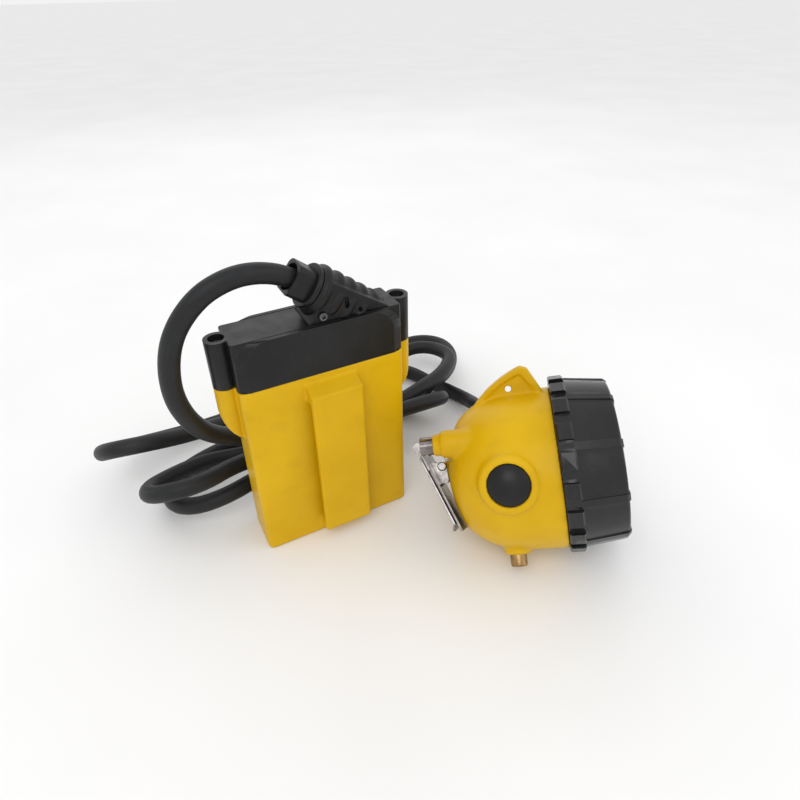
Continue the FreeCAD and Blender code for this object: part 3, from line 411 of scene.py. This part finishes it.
SECOND_RIGHT_RUN = [
    (-0.061, 0.0134, 0.0346), (-0.042, 0.025, 0.03), (-0.012, 0.028, 0.027), (0.021, 0.03, 0.0265),
    (0.05, 0.031, 0.028), (0.076, 0.035, 0.0326), (0.094, 0.042, 0.032), (0.1115, 0.058, 0.0295),
    (0.1141, 0.0712, 0.028), (0.1085, 0.0832, 0.027), (0.097, 0.0893, 0.026)]
SECOND_LEFT_RUN = [
    (0.075, 0.085, 0.0245), (0.05, 0.0775, 0.022), (0.021, 0.0735, 0.021), (-0.011, 0.0725, 0.022),
    (-0.037, 0.0695, 0.025), (-0.059, 0.0565, 0.034), (-0.081, 0.0475, 0.043),
    (-0.099, 0.0535, 0.041), (-0.106, 0.0715, 0.028), (-0.095, 0.0885, 0.015)]
THIRD_RIGHT_RUN = [
    (-0.073, 0.0935, 0.01), (-0.047, 0.0965, 0.007), (-0.014, 0.1025, 0.0049),
    (0.026, 0.108, 0.0049), (0.064, 0.115, 0.005), (0.09, 0.119, 0.0085), (0.106, 0.1192, 0.011),
    (0.122, 0.115, 0.0126), (0.131, 0.1026, 0.0134), (0.13, 0.088, 0.014), (0.122, 0.074, 0.0154)]
THIRD_LEFT_RUN = [
    (0.109, 0.0605, 0.0176), (0.094, 0.0505, 0.022), (0.079, 0.0445, 0.0208), (0.06, 0.0415, 0.014),
    (0.029, 0.0395, 0.01), (-0.004, 0.0335, 0.014), (-0.031, 0.0235, 0.0174),
    (-0.05, 0.0175, 0.0176), (-0.066, 0.0205, 0.0145), (-0.076, 0.0315, 0.01),
    (-0.078, 0.047, 0.0064), (-0.07, 0.0615, 0.005)]
FLOOR_RUN = [
    (-0.054, 0.0695, 0.0049), (-0.028, 0.075, 0.0049), (0.008, 0.085, 0.0049),
    (0.042, 0.097, 0.0049), (0.066, 0.104, 0.0049), (0.085, 0.1036, 0.0049), (0.098, 0.092, 0.0049),
    (0.1045, 0.071, 0.0049), (0.1125, 0.051, 0.0049), (0.114, 0.0365, 0.0076)]
CORD_ROUTE = (HOOK_RUN + FIRST_RIGHT_RUN + FIRST_LEFT_RUN + SECOND_RIGHT_RUN + SECOND_LEFT_RUN
              + THIRD_RIGHT_RUN + THIRD_LEFT_RUN + FLOOR_RUN)


def cord_curve():
    start = [GLAND_FACE - GLAND_OUT * FLANGE_DEPTH, GLAND_FACE + GLAND_OUT * STRAIGHT_REACH]
    end = [relief_point(RELIEF_STRAIGHT), relief_point(RELIEF_SEAT)]
    points = start + [Vector(place) for place in CORD_ROUTE] + end
    data = bpy.data.curves.new("cord_line", "CURVE")
    data.dimensions = "3D"
    line = data.splines.new("NURBS")
    line.points.add(len(points) - 1)
    for place, point in zip(line.points, points):
        place.co = (*point, 1.0)
    line.order_u = 3
    line.use_endpoint_u = True
    line.use_smooth = True
    data.resolution_u = 10
    data.bevel_depth = CORD_RADIUS
    data.bevel_resolution = 7
    data.use_fill_caps = True
    data.materials.append(cord_black)
    obj = bpy.data.objects.new("lamp_cord_line", data)
    bpy.context.scene.collection.objects.link(obj)
    stand_in(obj, "lamp_cord")


# ---- build -----------------------------------------------------------------------------------------------
lamp_shell_skin()
boot_skin()
case_skin()
cord_curve()
for name in ("battery_cap", "bezel_ring"):
    soften(name, 0.35 * MM)
for name in ("cable_collar", "gland_flange", "cord_nut", "clip_bracket", "clip_arm"):
    soften(name, 0.15 * MM)


# ---- stage, light and camera -----------------------------------------------------------------------------
FLOOR_HALF = 40.0            # metres, so that the floor's edge is out of every view
FLOOR_GAP = 0.1 * MM


def floor():
    mesh = bpy.data.meshes.new("floor")
    half = FLOOR_HALF
    mesh.from_pydata([(-half, -half, 0.0), (half, -half, 0.0), (half, half, 0.0), (-half, half, 0.0)], [],
                     [(0, 1, 2, 3)])
    obj = bpy.data.objects.new("floor", mesh)
    obj.location.z = -FLOOR_GAP
    bpy.context.scene.collection.objects.link(obj)
    obj.data.materials.append(floor_material())


def area_light(name, place, target, size, power):
    data = bpy.data.lights.new(name, "AREA")
    data.shape = "RECTANGLE"
    data.size = size[0]
    data.size_y = size[1]
    data.energy = power
    obj = bpy.data.objects.new(name, data)
    obj.location = place
    obj.rotation_euler = (Vector(target) - Vector(place)).to_track_quat("-Z", "Y").to_euler()
    bpy.context.scene.collection.objects.link(obj)


def studio():
    world = bpy.data.worlds.new("studio")
    world.use_nodes = True
    back = world.node_tree.nodes["Background"]
    back.inputs["Color"].default_value = (1.0, 1.0, 1.0, 1.0)
    back.inputs["Strength"].default_value = 0.9
    bpy.context.scene.world = world
    middle = (0.03, -0.02, 0.04)
    area_light("key", (-0.55, -0.65, 1.05), middle, (0.7, 0.7), 3.5)
    area_light("fill", (0.95, -0.75, 0.75), middle, (0.6, 0.9), 1.8)
    area_light("back", (0.2, 0.95, 0.8), middle, (1.0, 0.5), 1.3)


def camera():
    yaw = math.radians(26.51)
    pitch = math.radians(32.67)
    roll = math.radians(-1.5)
    forward = Vector((math.sin(yaw) * math.cos(pitch), math.cos(yaw) * math.cos(pitch), -math.sin(pitch)))
    level = Vector((math.cos(yaw), -math.sin(yaw), 0.0))
    right = level * math.cos(roll) + level.cross(forward) * math.sin(roll)
    up = right.cross(forward)
    data = bpy.data.cameras.new("camera")
    data.lens = 26.33
    data.sensor_width = 36.0
    data.shift_x = 0.008
    data.shift_y = -0.0443
    data.clip_start = 0.01
    data.clip_end = 200.0
    obj = bpy.data.objects.new("camera", data)
    obj.matrix_world = Matrix.Translation(Vector((-70.3, -220.4, 238.3)) * MM) @ Matrix(
        (right, up, -forward)).transposed().to_4x4()
    bpy.context.scene.collection.objects.link(obj)
    bpy.context.scene.camera = obj


floor()
studio()
camera()
bpy.context.scene.view_settings.view_transform = "Standard"
